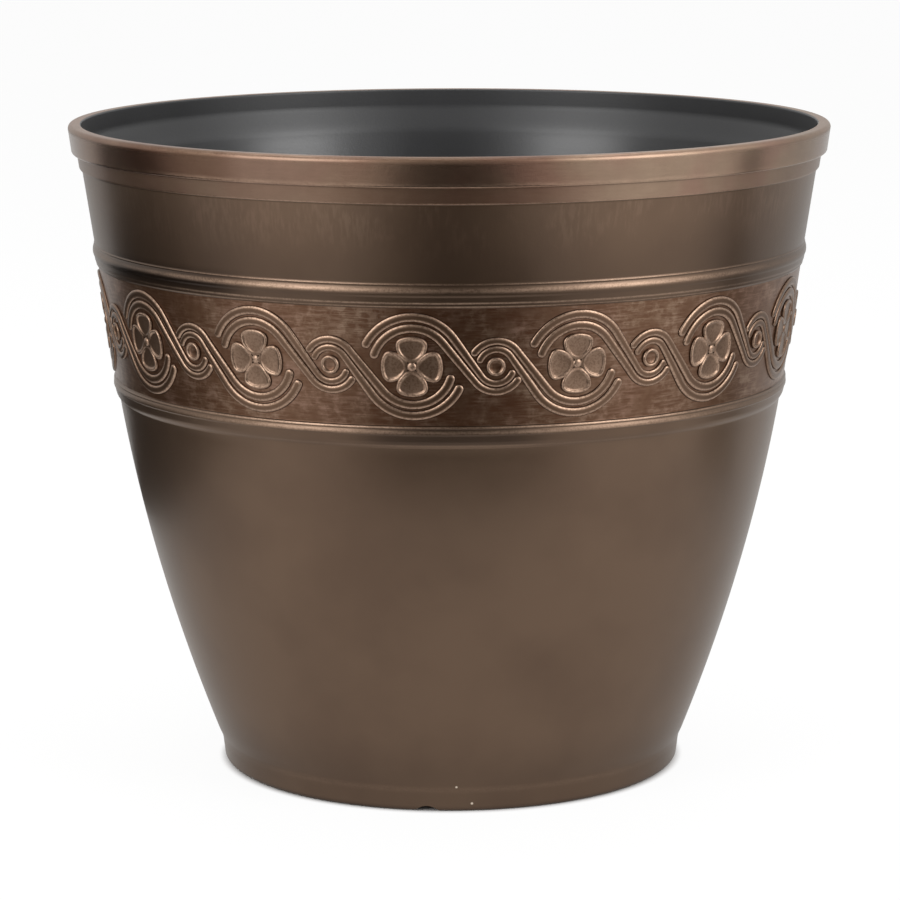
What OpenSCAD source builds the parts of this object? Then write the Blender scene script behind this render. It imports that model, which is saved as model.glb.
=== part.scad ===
/* [Rim] */
// Outside diameter across the top of the rim
rim_d = 390; // [340:1:440]
// Height of the rim band
rim_h = 14.3; // [12:0.1:22]
// Radius that the rim band loses from its top to its bottom
rim_draft = 1.7; // [0.5:0.1:3]
// Width of the rim's top face
rim_top_w = 6.6; // [5:0.1:9]
// Rounding of the rim's outer top edge
rim_round = 2.4; // [1:0.1:3.5]
// Rounding of the rim's inner top edge
rim_inner_round = 0.9; // [0.3:0.1:2]
// Depth of the straight band inside the rim
rim_inner_h = 11.5; // [8:0.5:16]
// Height of the lower band under the rim
collar_h = 8.2; // [5:0.1:14]
// Radius that the lower band loses from its top to its bottom
collar_draft = 1.6; // [0.5:0.1:2.5]
// Step in from the rim to the lower band
collar_step = 2; // [1:0.1:3]

/* [Neck] */
// Height of the plain neck under the rim bands
neck_h = 38; // [20:0.5:60]
// Radius that the neck loses from its top to its bottom
neck_draft = 5.8; // [2:0.1:9]
// Step in from the lower band to the neck
neck_step = 1.3; // [0.5:0.1:2.5]

/* [Frieze band] */
// Height of the bead above the frieze
bead_h = 12.3; // [9:0.1:18]
// How far the upper bead stands out of the neck
bead_proud = 0.75; // [0.4:0.05:2]
// Step in from the upper bead to the frieze ground
bead_step = 2.6; // [1.5:0.1:4]
// Height of the frieze ground
frieze_h = 57.2; // [55:0.2:80]
// Radius that the frieze ground loses from its top to its bottom
frieze_draft = 7.85; // [3:0.05:11]
// Height of the bead under the frieze
low_bead_h = 11.5; // [9:0.1:18]
// How far the lower bead stands out of the frieze ground
low_bead_proud = 0.95; // [0.4:0.05:2]
// Step in from the lower bead to the body
low_bead_step = 3.05; // [1.5:0.05:5]

/* [Body and foot] */
// Height of the curved body between the lower bead and the foot
body_h = 181; // [120:1:240]
// How far the body swells outside a straight taper
body_bulge = 5.2; // [1:0.1:9]
// Diameter of the foot ring
foot_d = 238.4; // [200:0.4:280]
// Height of the foot ring
foot_h = 11.5; // [9:0.5:18]
// Radius that the foot ring gains from its bottom to its top
foot_draft = 0.8; // [0.2:0.1:2]
// Rounding of the foot's outer bottom edge
foot_round = 3; // [1:0.25:4]
// Thickness of the foot ring
foot_wall = 6.5; // [5.5:0.5:9]
// Thickness of the moulded wall
wall = 4; // [3:0.25:5]
// Height of the floor's underside over the ground
floor_lift = 9; // [6:0.5:12]
// Thickness of the floor
floor_t = 4; // [3:0.25:6]
// Rounding where the wall meets the floor inside
floor_fillet = 8; // [4:0.5:14]

/* [Drainage] */
// Diameter of a drain hole
drain_d = 13; // [10:0.5:18]
// Distance from the pot's axis to a drain hole
drain_at = 60; // [45:1:80]
// Width of a foot notch at the ground
notch_w = 12; // [8:0.5:16]
// Height of a foot notch
notch_h = 3; // [2:0.25:4]
// Diameter of a plug's flange
plug_flange_d = 22; // [21:0.5:30]
// Thickness of a plug's flange
plug_flange_t = 2.2; // [1.5:0.1:3]
// Diameter of a plug's grip
plug_grip_d = 8; // [5:0.5:9]
// Height of a plug's grip over its flange
plug_grip_h = 5; // [3:0.5:9]
// How far a plug's stem reaches below the floor
plug_tail = 3; // [1:0.5:4]
// Radial gap between a plug's stem and its hole
plug_gap = 0.05; // [0.02:0.01:0.1]
// Chamfer at the lower end of a plug's stem
plug_chamfer = 1.5; // [0.5:0.25:2]

/* [Ornament] */
// Number of flowers round the frieze
flower_count = 14; // [13:1:15]
// How far the ornament stands out of the frieze ground
relief_h = 1.5; // [0.8:0.1:2.5]
// Gap between the ornament and the frieze ground
relief_gap = 0.05; // [0.02:0.01:0.1]
// Radius of the outer strand's centre line over a flower
outer_arch_r = 24.4; // [23.8:0.1:24.6]
// Radius of the inner strand's centre line over a flower
inner_arch_r = 19.55; // [19.3:0.05:20]
// Width of the outer strand over a flower
outer_arch_w = 3.8; // [3:0.1:4.2]
// Width of the inner strand over a flower
inner_arch_w = 4.3; // [3.5:0.1:4.6]
// Radius of the near strand's centre line round a boss
near_loop_r = 8.7; // [8.4:0.1:9]
// Radius of the far strand's centre line round a boss
far_loop_r = 12.3; // [12:0.1:12.6]
// Width of each strand round a boss
loop_w = 3.1; // [2.4:0.1:3.2]
// Angle round the flower at which the outer strand starts
outer_start = 155; // [145:1:160]
// Angle round the flower at which the inner strand starts
inner_start = 163; // [150:1:168]
// Angle under the boss's level at which the near strand ends
near_end = 20; // [16:1:40]
// Angle under the boss's level at which the far strand ends
far_end = 31; // [30:1:50]
// Width of a petal
petal_w = 13.6; // [11:0.2:14.4]
// Distance from the flower's centre to a petal's tip
petal_reach = 14.8; // [13:0.1:15.5]
// Width of a petal's raised edge
petal_edge = 1.7; // [1:0.1:2.5]
// Depth of a petal's dish under its raised edge
petal_dish = 0.7; // [0.3:0.1:0.7]
// Gap between two petals
petal_gap = 0.8; // [0.4:0.1:1.5]
// Diameter of the eye in a flower's centre
eye_d = 4.8; // [4:0.1:6]
// Diameter of a boss
boss_d = 9.3; // [7:0.1:10]
// Diameter of a boss's dish
boss_dish_d = 4.4; // [3:0.1:5]
// Depth of a boss's dish
boss_dish = 0.7; // [0.3:0.1:0.7]
// How far bosses and flower eyes stand out of the frieze ground
eye_h = 1.8; // [1:0.1:2.5]

/* [Hidden] */

// Heights of the rings over the ground, from the foot up
body_top_z = foot_h + body_h;
frieze_low_z = body_top_z + low_bead_h;
frieze_top_z = frieze_low_z + frieze_h;
neck_low_z = frieze_top_z + bead_h;
collar_low_z = neck_low_z + neck_h;
rim_low_z = collar_low_z + collar_h;
pot_h = rim_low_z + rim_h;
floor_z = floor_lift + floor_t;

// Radii of the rings, from the rim down
rim_r = rim_d / 2;
rim_low_r = rim_r - rim_draft;
rim_inner_r = rim_r - rim_top_w;
collar_top_r = rim_low_r - collar_step;
collar_low_r = collar_top_r - collar_draft;
neck_top_r = collar_low_r - neck_step;
neck_low_r = neck_top_r - neck_draft;
bead_r = neck_low_r + bead_proud;
frieze_top_r = bead_r - bead_step;
frieze_low_r = frieze_top_r - frieze_draft;
low_bead_r = frieze_low_r + low_bead_proud;
body_top_r = low_bead_r - low_bead_step;
foot_r = foot_d / 2;
foot_top_r = foot_r + foot_draft;

// The ornament's own measures: its middle height, its step round the band and its spacing there
frieze_mid_z = (frieze_low_z + frieze_top_z) / 2;
frieze_mid_r = (frieze_low_r + frieze_top_r) / 2;
flower_step = 360 / flower_count;
boss_at = PI * frieze_mid_r / flower_count;
petal_at = petal_reach - petal_w / 2;
// Drain holes, each in line with a notch in the foot
drain_count = 3;
drain_step = 360 / drain_count;
notch_r = (notch_w * notch_w / 4 + notch_h * notch_h) / (2 * notch_h);
// How far the band curves away from a flat prism at the far end of a scroll
band_sag = pow(boss_at / 2 + outer_arch_r + outer_arch_w, 2) / (2 * frieze_low_r);

// Segments of the body's curve, of small roundings, and of a strand's arch and loop
curve_steps = 24;
round_steps = 5;
arch_steps = 10;
loop_steps = 7;
// Angle that a strand's pointed end adds, for each strand width along its centre line
end_round = 18;
$fn = 96;

// Points of an arc about a centre, between two angles
function arc(cx, cy, r, a0, a1, steps = round_steps) =
    [for (i = [0:steps]) let (a = a0 + (a1 - a0) * i / steps) [cx + r * cos(a), cy + r * sin(a)]];

// Radius of the body's outside at a height, inset from the surface
function body_r(z, inset = 0) =
    let (t = (z - foot_h) / body_h)
    foot_top_r + (body_top_r - foot_top_r) * t + 4 * body_bulge * t * (1 - t) - inset;

// Points of the body's curve from one height to another
function body_curve(z0, z1, inset = 0) =
    [for (i = [0:curve_steps]) let (z = z0 + (z1 - z0) * i / curve_steps) [body_r(z, inset), z]];

// The outside, from the foot's inner edge up to the rim's top
function outside_points() = concat(
    [[foot_r - foot_wall, 0]],
    arc(foot_r - foot_round, foot_round, foot_round, -90, 0),
    body_curve(foot_h, body_top_z),
    [
        [low_bead_r - low_bead_step * 0.25, body_top_z + low_bead_h * 0.34],
        [low_bead_r, body_top_z + low_bead_h * 0.62],
        [low_bead_r, frieze_low_z - low_bead_proud],
        [frieze_low_r, frieze_low_z],
        [frieze_top_r, frieze_top_z],
        [bead_r - bead_step * 0.25, frieze_top_z + bead_h * 0.3],
        [bead_r, frieze_top_z + bead_h * 0.62],
        [bead_r, neck_low_z - 2 * bead_proud],
        [neck_low_r, neck_low_z],
        [neck_top_r, collar_low_z],
        [collar_low_r, collar_low_z],
        [collar_top_r, rim_low_z],
        [rim_low_r, rim_low_z]
    ],
    arc(rim_r - rim_round, pot_h - rim_round, rim_round, 0, 90)
);

// The inside, from the rim's top down to the middle of the floor
function inside_points() = concat(
    arc(rim_inner_r + rim_inner_round, pot_h - rim_inner_round, rim_inner_round, 90, 180),
    [
        [rim_inner_r, pot_h - rim_inner_h],
        [neck_top_r - wall, collar_low_z],
        [neck_low_r - wall, neck_low_z],
        [frieze_top_r - wall, frieze_top_z],
        [frieze_low_r - wall, frieze_low_z]
    ],
    body_curve(body_top_z, floor_z + floor_fillet, wall),
    arc(body_r(floor_z + floor_fillet, wall) - floor_fillet, floor_z + floor_fillet, floor_fillet, 0, -90),
    [[0, floor_z], [0, floor_lift], [foot_r - foot_wall, floor_lift]]
);

// One prism that runs outwards through the band, drawn flat in the band's own arc lengths
module through_band(turn) {
    rotate([0, 0, turn])
        translate([0, band_sag - frieze_low_r, frieze_mid_z])
            rotate([90, 0, 0])
                linear_extrude(band_sag + frieze_draft + 2 * eye_h)
                    children();
}

// The layer over the frieze ground between two heights above it
module band_layer(low, high) {
    rotate_extrude()
        polygon([
            [frieze_low_r + low, frieze_low_z],
            [frieze_low_r + high, frieze_low_z],
            [frieze_top_r + high, frieze_top_z],
            [frieze_top_r + low, frieze_top_z]
        ]);
}

// The outline of one strand: over the flower, down between the two, under the boss, and back along its other side
function strand_points(arch_r, arch_w, start, loop_r, finish) =
    let (lean = acos((arch_r + loop_r) / boss_at))
    let (tip = start + end_round * arch_w / arch_r)
    let (tail = finish - end_round * loop_w / loop_r)
    concat(
        arc(0, 0, arch_r + arch_w / 2, start, lean, arch_steps),
        arc(boss_at, 0, loop_r - loop_w / 2, lean - 180, -finish, loop_steps),
        [[boss_at + loop_r * cos(tail), -loop_r * sin(tail)]],
        arc(boss_at, 0, loop_r + loop_w / 2, -finish, lean - 180, loop_steps),
        arc(0, 0, arch_r - arch_w / 2, lean, start, arch_steps),
        [[arch_r * cos(tip), arch_r * sin(tip)]]
    );

// Both strands of one scroll
module scroll() {
    polygon(strand_points(outer_arch_r, outer_arch_w, outer_start, near_loop_r, near_end));
    polygon(strand_points(inner_arch_r, inner_arch_w, inner_start, far_loop_r, far_end));
}

// A petal's outline, drawn in from its edge by an inset
module petal(inset) {
    side = petal_gap / 2 + inset;
    intersection() {
        translate([petal_at, 0])
            circle(petal_w / 2 - inset);
        translate([side * sqrt(2), 0])
            polygon([[0, 0], [petal_reach, petal_reach], [petal_reach, -petal_reach]]);
    }
}

module pot_shell() {
    color([0.33, 0.25, 0.19])
        difference() {
            rotate_extrude($fn = 180)
                polygon(concat(outside_points(), inside_points()));
            for (i = [0:drain_count - 1])
                rotate([0, 0, i * drain_step]) {
                    translate([0, -drain_at, 0])
                        cylinder(h = floor_z + floor_t, d = drain_d);
                    translate([0, 2 * foot_wall - foot_r, notch_h - notch_r])
                        rotate([90, 0, 0])
                            cylinder(h = 4 * foot_wall, r = notch_r);
                }
        }
}

module frieze_scrolls() {
    color([0.62, 0.48, 0.37])
        intersection() {
            band_layer(relief_gap, relief_h);
            for (i = [0:flower_count - 1])
                for (side = [0, 1])
                    through_band((i + (side == 0 ? 0.25 : -0.25)) * flower_step)
                        rotate(side * 180)
                            translate([-boss_at / 2, 0])
                                scroll();
        }
}

module frieze_flowers() {
    color([0.66, 0.51, 0.39])
        for (i = [0:flower_count - 1]) {
            difference() {
                intersection() {
                    band_layer(relief_gap, relief_h);
                    through_band(i * flower_step)
                        for (quarter = [0:3])
                            rotate(quarter * 90)
                                petal(0);
                }
                intersection() {
                    band_layer(relief_h - petal_dish, relief_h + petal_dish);
                    through_band(i * flower_step)
                        for (quarter = [0:3])
                            rotate(quarter * 90)
                                petal(petal_edge);
                }
            }
            intersection() {
                band_layer(relief_gap, eye_h);
                through_band(i * flower_step)
                    circle(d = eye_d);
            }
        }
}

module frieze_bosses() {
    color([0.66, 0.51, 0.39])
        for (i = [0:flower_count - 1])
            difference() {
                intersection() {
                    band_layer(relief_gap, eye_h);
                    through_band((i + 0.5) * flower_step)
                        circle(d = boss_d);
                }
                intersection() {
                    band_layer(eye_h - boss_dish, eye_h + boss_dish);
                    through_band((i + 0.5) * flower_step)
                        circle(d = boss_dish_d);
                }
            }
}

// A plug: its stem in the hole, its flange on the floor and its grip above
module plug(place) {
    stem_r = drain_d / 2 - plug_gap;
    stem_low_z = floor_lift - plug_tail;
    flange_top_z = floor_z + plug_flange_t;
    color([0.13, 0.13, 0.13])
        rotate([0, 0, place * drain_step])
            translate([0, -drain_at, 0])
                rotate_extrude()
                    polygon([
                        [0, stem_low_z],
                        [stem_r - plug_chamfer, stem_low_z],
                        [stem_r, stem_low_z + plug_chamfer],
                        [stem_r, floor_z],
                        [plug_flange_d / 2, floor_z],
                        [plug_flange_d / 2, flange_top_z],
                        [plug_grip_d / 2, flange_top_z],
                        [plug_grip_d / 2, flange_top_z + plug_grip_h],
                        [0, flange_top_z + plug_grip_h]
                    ]);
}

module drain_plug_front() {
    plug(0);
}

module drain_plug_right() {
    plug(1);
}

module drain_plug_left() {
    plug(2);
}

pot_shell();
frieze_scrolls();
frieze_flowers();
frieze_bosses();
drain_plug_front();
drain_plug_right();
drain_plug_left();
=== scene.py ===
# %% [markdown]
# # A bronze-painted urn planter
#
# The real pot is one thin moulding of dark grey resin with a bronze paint outside. From the ground up
# it has a foot ring, a swelling body, a band of scrolls and flowers between two beads, a plain neck and
# a two-step rim. The measured solids of every piece come first, because each piece below has to sit
# exactly where they say.

# %% Load the measured solids
import math

import bmesh
import bpy
from mathutils import Matrix, Vector


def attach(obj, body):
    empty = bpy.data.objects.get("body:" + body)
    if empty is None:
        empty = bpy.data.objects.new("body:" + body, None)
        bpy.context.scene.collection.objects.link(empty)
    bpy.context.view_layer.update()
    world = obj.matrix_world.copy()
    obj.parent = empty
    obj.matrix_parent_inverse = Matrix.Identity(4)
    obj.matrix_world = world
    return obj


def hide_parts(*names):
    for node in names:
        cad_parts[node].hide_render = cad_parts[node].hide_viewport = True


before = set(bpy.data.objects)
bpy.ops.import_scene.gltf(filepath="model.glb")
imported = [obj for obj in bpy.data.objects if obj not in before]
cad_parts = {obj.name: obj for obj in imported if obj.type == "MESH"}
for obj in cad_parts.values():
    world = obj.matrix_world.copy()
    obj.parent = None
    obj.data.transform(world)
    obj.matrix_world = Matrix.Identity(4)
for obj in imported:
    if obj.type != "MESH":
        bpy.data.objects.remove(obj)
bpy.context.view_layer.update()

print("Solids:", ", ".join(sorted(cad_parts)))

# %% [markdown]
# ## Measures
# A turned or moulded round object is described well by a few heights and radii. They could be typed
# where they are used, but several pieces share them, and the paint follows the same rings, so each one
# gets a name here. The band's ground runs from GROUND_LOW to GROUND_TOP, and its slope follows from the
# radii at FRIEZE_LOW and FRIEZE_TOP. All lengths of the pieces are written in millimetres and turned to
# metres by MM.

# %% The pot's rings
MM = 0.001
TURN = 2 * math.pi

FOOT_TOP, BODY_TOP = 11.5, 193.6
FRIEZE_LOW, FRIEZE_TOP = 204.0, 261.2
GROUND_LOW, GROUND_TOP = 204.6, 261.9
NECK_LOW, COLLAR_LOW, RIM_LOW, POT_TOP = 273.9, 311.5, 319.6, 334.0
FOOT_R, FOOT_TOP_R, BODY_TOP_R, BODY_BULGE = 119.2, 120.2, 171.0, 5.2
FOOT_INNER_R, RIM_INNER_R = 112.7, 188.4
FRIEZE_LOW_R, FRIEZE_TOP_R = 172.9, 180.75
WALL = 4.0
FLOOR_LOW, FLOOR_TOP, FLOOR_FILLET = 9.0, 13.0, 8.0
FLOWERS = 14
FRIEZE_MID = 233.6
BOSS_AT = math.pi * (FRIEZE_LOW_R + FRIEZE_TOP_R) / 2 / FLOWERS


def body_radius(z):
    """Radius of the swelling body at a height, both in mm."""
    t = (z - FOOT_TOP) / (BODY_TOP - FOOT_TOP)
    return FOOT_TOP_R + (BODY_TOP_R - FOOT_TOP_R) * t + 4 * BODY_BULGE * t * (1 - t)


print("From a flower to the next boss:", round(BOSS_AT, 2), "mm")

# %% [markdown]
# ## Helpers for meshes
# Every piece starts as a bmesh, is shaped with bmesh operators, and then becomes an object whose place
# is in its mesh. The last steps come back each time, so they get a helper each: one makes the object,
# smooth but with crisp edges above an angle, and one prints what came out.

# %% Helpers that every piece uses
CREASE = 35.0


def to_object(bm, name, crease=CREASE):
    """Turns a bmesh into an object at the origin, smooth but for edges sharper than the crease angle."""
    mesh = bpy.data.meshes.new(name)
    bm.to_mesh(mesh)
    bm.free()
    mesh.polygons.foreach_set("use_smooth", [True] * len(mesh.polygons))
    mesh.set_sharp_from_angle(angle=math.radians(crease))
    made = bpy.data.objects.new(name, mesh)
    bpy.context.scene.collection.objects.link(made)
    return made


def report(piece):
    """Prints a piece's size and its number of triangles."""
    mesh = piece.data
    mesh.calc_loop_triangles()
    size = [round(v / MM, 1) for v in piece.dimensions]
    print(piece.name, "measures", size, "mm and has", len(mesh.loop_triangles), "triangles")


print("Edges sharper than", CREASE, "degrees stay crisp")

# %% [markdown]
# The pot and its plugs are turned shapes. Each is drawn as half of its section, a line of corners that
# are rounded one by one, and spun about the axis. The spin leaves a seam and poles of doubled points,
# which are merged so that the mesh is closed, and then its faces are pointed outwards.

# %% Helpers for turned pieces
SAME_PLACE = 0.002


def outline(bm, points):
    """Joins corners (radius, height, rounding), in mm, to one line in the XZ plane, and rounds them."""
    corners = [bm.verts.new((r * MM, 0, z * MM)) for r, z, _ in points]
    for low, high in zip(corners, corners[1:]):
        bm.edges.new((low, high))
    for corner, (_, _, rounding) in zip(corners, points):
        if rounding:
            bmesh.ops.bevel(
                bm, geom=[corner], offset=rounding * MM, offset_type="OFFSET",
                segments=max(2, round(rounding * 3)), profile=0.5, affect="VERTICES", material=-1,
            )


def turn_on_lathe(bm, steps):
    """Spins the whole outline round the vertical axis, as a lathe would."""
    bmesh.ops.spin(
        bm, geom=bm.verts[:] + bm.edges[:], cent=(0, 0, 0), axis=(0, 0, 1), dvec=(0, 0, 0),
        angle=TURN, steps=steps, use_merge=True, use_normal_flip=False, use_duplicate=False,
    )


def merge(bm):
    """Closes seams and poles, then points every face outwards."""
    bmesh.ops.remove_doubles(bm, verts=bm.verts, dist=SAME_PLACE * MM)
    bmesh.ops.dissolve_degenerate(bm, edges=bm.edges, dist=SAME_PLACE * MM / 4)
    bmesh.ops.recalc_face_normals(bm, faces=bm.faces)


print("Points closer than", SAME_PLACE, "mm are merged")

# %% [markdown]
# ## The pot
# On the real object this is the moulding itself: a thin shell that is the same all the way round. It
# could be a cylinder pushed into shape, but a moulder thinks of it as one outline turned about the
# axis, so the outline is drawn corner by corner, each corner is rounded by its own amount, and the
# body's straight edge is cut up and swelled by a formula. One spin then makes the whole wall, outside
# and inside.

# %% The pot's outline
OUTSIDE = [
    (FOOT_INNER_R, FLOOR_LOW, 0.8), (FOOT_INNER_R, 0, 0.8), (118.9, 0, 3.0),
    (FOOT_TOP_R, FOOT_TOP, 2.0), (BODY_TOP_R, BODY_TOP, 0.25),
    (172.6, 195.6, 1.1), (173.6, 199.9, 0.2), (174.05, 200.2, 0.3), (173.85, 202.5, 0.25),
    (173.6, 202.8, 0.12), (173.95, 203.2, 0.2), (173.75, 204.3, 0.3), (172.98, GROUND_LOW, 0.2),
    (180.85, GROUND_TOP, 0.2), (181.3, 262.3, 0.25), (181.85, 263.0, 0.3), (181.95, 263.9, 0.3),
    (182.4, 264.9, 0.45), (182.8, 267.2, 0.3), (183.35, 268.2, 0.5), (183.6, 270.1, 0.9),
    (183.05, 272.4, 0.4), (182.75, 272.75, 0.1), (182.95, 273.3, 0.2), (182.6, NECK_LOW, 0.15),
    (188.2, COLLAR_LOW, 0.4), (189.5, COLLAR_LOW, 0.7),
    (190.7, RIM_LOW, 0.4), (193.3, RIM_LOW, 0.9),
    (195.26, POT_TOP, 2.6), (RIM_INNER_R, POT_TOP, 0.9),
]
INSIDE = [
    (RIM_INNER_R, POT_TOP - 10.2, 1.4), (184.4, COLLAR_LOW, 1.5), (178.6, 273.5, 2.0),
    (176.75, FRIEZE_TOP, 1.0), (168.9, FRIEZE_LOW, 2.0), (166.8, BODY_TOP, 2.0),
    (body_radius(FLOOR_TOP) - WALL, FLOOR_TOP, FLOOR_FILLET), (0, FLOOR_TOP, 0),
]
profile = bmesh.new()
outline(profile, [(0, FLOOR_LOW, 0)] + OUTSIDE + INSIDE)
print("The rounded outline has", len(profile.verts), "points")

# %% [markdown]
# Smooth shading blends the light between the points of an edge, so a long flat stretch beside a small
# rounding would look bent. Every long edge therefore gets a point close to each of its ends, which
# keeps the blend inside the rounding.

# %% Hold the flat stretches flat
SUPPORT = 0.4


def added_verts(result):
    """The new points in what a cut of edges gives back."""
    return [g for g in result["geom_inner"] if isinstance(g, bmesh.types.BMVert)]


def hold_flat(bm, shortest=2.0):
    """Gives each edge over the shortest length, in mm, a point near both ends."""
    for edge in [e for e in bm.edges if e.calc_length() > shortest * MM]:
        ends = [v.co.copy() for v in edge.verts]
        near = bmesh.ops.subdivide_edges(bm, edges=[edge], cuts=2)
        for v in added_verts(near):
            end, other = sorted(ends, key=lambda co: (co - v.co).length)
            v.co = end + (other - end).normalized() * SUPPORT * MM


hold_flat(profile)
print("With its supports it has", len(profile.verts), "points")

# %% [markdown]
# The two long edges of the body, outside and inside, are cut into short ones. Each new point then goes
# to the body's own curve, the inner one a wall's thickness further in.

# %% Swell the body
BODY_CUTS, POT_STEPS = 44, 240


def edges_across(bm, low, high):
    """The outline's edges that start under one height and end over another, both in mm."""
    return [
        e for e in bm.edges
        if min(v.co.z for v in e.verts) < low * MM and max(v.co.z for v in e.verts) > high * MM
    ]


for edge in edges_across(profile, low=30, high=180):
    low = min(edge.verts, key=lambda v: v.co.z).co / MM
    inset = WALL if low.x < body_radius(low.z) - WALL / 2 else 0.0
    for v in added_verts(bmesh.ops.subdivide_edges(profile, edges=[edge], cuts=BODY_CUTS)):
        v.co.x = (body_radius(v.co.z / MM) - inset) * MM
turn_on_lathe(profile, POT_STEPS)
merge(profile)
pot = to_object(profile, "pot")
report(pot)

# %% [markdown]
# ## Drain holes and foot notches
# Water leaves through three holes in the floor, and runs away under the foot through three shallow
# notches, each in line with a hole. In the factory a pin and a small tooth in the mould leave them out.
# Here three upright and three lying cylinders are taken away from the pot with an exact Boolean, which
# cuts clean edges without a rebuilt mesh. Each cylinder is turned by half of one of its sides, because a
# corner that lies right on an edge of the spun pot would leave a sliver.

# %% Cut the holes and notches
DRAINS = 3
DRAIN_AT, DRAIN_R = 60.0, 6.5
NOTCH_R, NOTCH_H = 7.5, 3.0
PIN_LENGTH, TOOTH_LENGTH, CUTTER_SIDES = 20, 26, 64

cutter_mesh = bmesh.new()
half_side = Matrix.Rotation(TURN / CUTTER_SIDES / 2, 4, "Z")
upright = Matrix.Translation((0, -DRAIN_AT * MM, (FLOOR_LOW + FLOOR_TOP) / 2 * MM))
lying = Matrix.Translation((0, -FOOT_R * MM, (NOTCH_H - NOTCH_R) * MM)) @ Matrix.Rotation(TURN / 4, 4, "X")
for number in range(DRAINS):
    around = Matrix.Rotation(TURN * number / DRAINS, 4, "Z")
    for radius, depth, where in ((DRAIN_R, PIN_LENGTH, upright), (NOTCH_R, TOOTH_LENGTH, lying)):
        bmesh.ops.create_cone(
            cutter_mesh, cap_ends=True, cap_tris=False, segments=CUTTER_SIDES,
            radius1=radius * MM, radius2=radius * MM, depth=depth * MM, matrix=around @ where @ half_side,
        )
cutter = to_object(cutter_mesh, "cutter")
cut = pot.modifiers.new("holes", "BOOLEAN")
cut.operation = "DIFFERENCE"
cut.solver = "EXACT"
cut.object = cutter
graph = bpy.context.evaluated_depsgraph_get()
carved = bpy.data.meshes.new_from_object(pot.evaluated_get(graph), depsgraph=graph)
pot.modifiers.clear()
pot.data = carved
bpy.data.objects.remove(cutter)
carved.set_sharp_from_angle(angle=math.radians(CREASE))
report(pot)

# %% [markdown]
# ## Two finishes on one moulding
# The paint covers the outside and the top of the rim. Inside and underneath, the bare resin shows. A
# painter masks that line at the rim's inner edge and at the foot's inner edge, so the faces are sorted
# in the same way: by which side of the wall's middle they lie on.

# %% Sort the faces
FOOT_MASK_R, RIM_MASK = 113.5, 0.25
WALL_MIDDLE = [
    (BODY_TOP, 168.8), (FRIEZE_LOW, 170.9), (FRIEZE_TOP, 178.8), (NECK_LOW, 180.6),
    (310, 186.3), (313, 188.5), (POT_TOP, 191),
]


def is_bare(centre):
    """True where the resin is left unpainted."""
    r, z = math.hypot(centre.x, centre.y) / MM, centre.z / MM
    if z < FLOOR_TOP + 1:
        return r < FOOT_MASK_R
    if z < BODY_TOP:
        return r < body_radius(z) - WALL / 2
    for (low, low_r), (high, high_r) in zip(WALL_MIDDLE, WALL_MIDDLE[1:]):
        if z <= high:
            return r < low_r + (high_r - low_r) * (z - low) / (high - low) and z < POT_TOP - RIM_MASK
    return False


for face in carved.polygons:
    face.material_index = 1 if is_bare(face.center) else 0
print("Painted faces:", sum(f.material_index == 0 for f in carved.polygons), "of", len(carved.polygons))

# %% [markdown]
# ## Wrapping the ornament round the band
# The scrolls and flowers are easiest to draw flat: x runs along the band, y runs up it, and z is the
# height over the band's ground. A real pattern maker also carves it flat and bends it. One function
# then lays any flat shape on the slightly conical band, and one spin copies it all the way round. The
# strands rise by RELIEF and the flowers' eyes by EYE_H. Every piece starts a little inside the wall, at
# SUNK, and has a small foot all round, CORNER wide and LIP high, where the dark first coat and a
# painted contact shade stay.

# %% From the flat drawing to the band
def ground_radius(z):
    """Radius of the band's ground at a height over the floor, both in mm."""
    return FRIEZE_LOW_R + (FRIEZE_TOP_R - FRIEZE_LOW_R) * (z - FRIEZE_LOW) / (FRIEZE_TOP - FRIEZE_LOW)


def wrap(verts, middle_x, turn, upside_down=False):
    """Lays flat verts, in mm, on the band: middle_x comes to lie at that turn from the front flower."""
    side = -1 if upside_down else 1
    for v in verts:
        z = FRIEZE_MID + side * v.co.y
        ground = ground_radius(z)
        angle = turn + side * math.asin((v.co.x - middle_x) / ground)
        radius = ground + v.co.z
        v.co = Vector((radius * math.sin(angle), -radius * math.cos(angle), z)) * MM


def copy_round(bm):
    """Repeats everything in the bmesh once for each flower."""
    bmesh.ops.spin(
        bm, geom=bm.verts[:] + bm.edges[:] + bm.faces[:], cent=(0, 0, 0), axis=(0, 0, 1), dvec=(0, 0, 0),
        angle=TURN * (FLOWERS - 1) / FLOWERS, steps=FLOWERS - 1, use_merge=False, use_duplicate=True,
    )


RELIEF, EYE_H, SUNK = 1.1, 1.4, 0.3
CORNER, LIP = 0.22, 0.02
ORNAMENT_CREASE = 50.0
print("Ground radius at the flowers' level:", round(ground_radius(FRIEZE_MID), 2), "mm")

# %% [markdown]
# ## A strand of the scroll
# Each scroll is a pair of rounded strands that arch over a flower, run down between it and the next
# boss, and curl under that boss. A curve with a bevel would do, but it gives no control over the ends.
# So a section with a broad top is spun about the flower, stretched along the slope while its width
# changes, and spun the other way about the boss. Half the section, spun half a turn on the spot, rounds
# off each end. Every point also keeps how far its paint is rubbed, from -1 in the corner to 1 where
# hands and cloths have polished it most, which is on both shoulders of a strand and not on its top.

# %% The section of a strand
SECTION_STEPS = 6
BROAD = 0.55
TOP_RUB, SHOULDER_FROM, SHOULDER_OVER = 0.12, 0.3, 0.45


def verts_of(geometry):
    """The points among what an operator gives back."""
    return [g for g in geometry if isinstance(g, bmesh.types.BMVert)]


def edges_of(geometry):
    """The edges among what an operator gives back."""
    return [g for g in geometry if isinstance(g, bmesh.types.BMEdge)]


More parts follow.
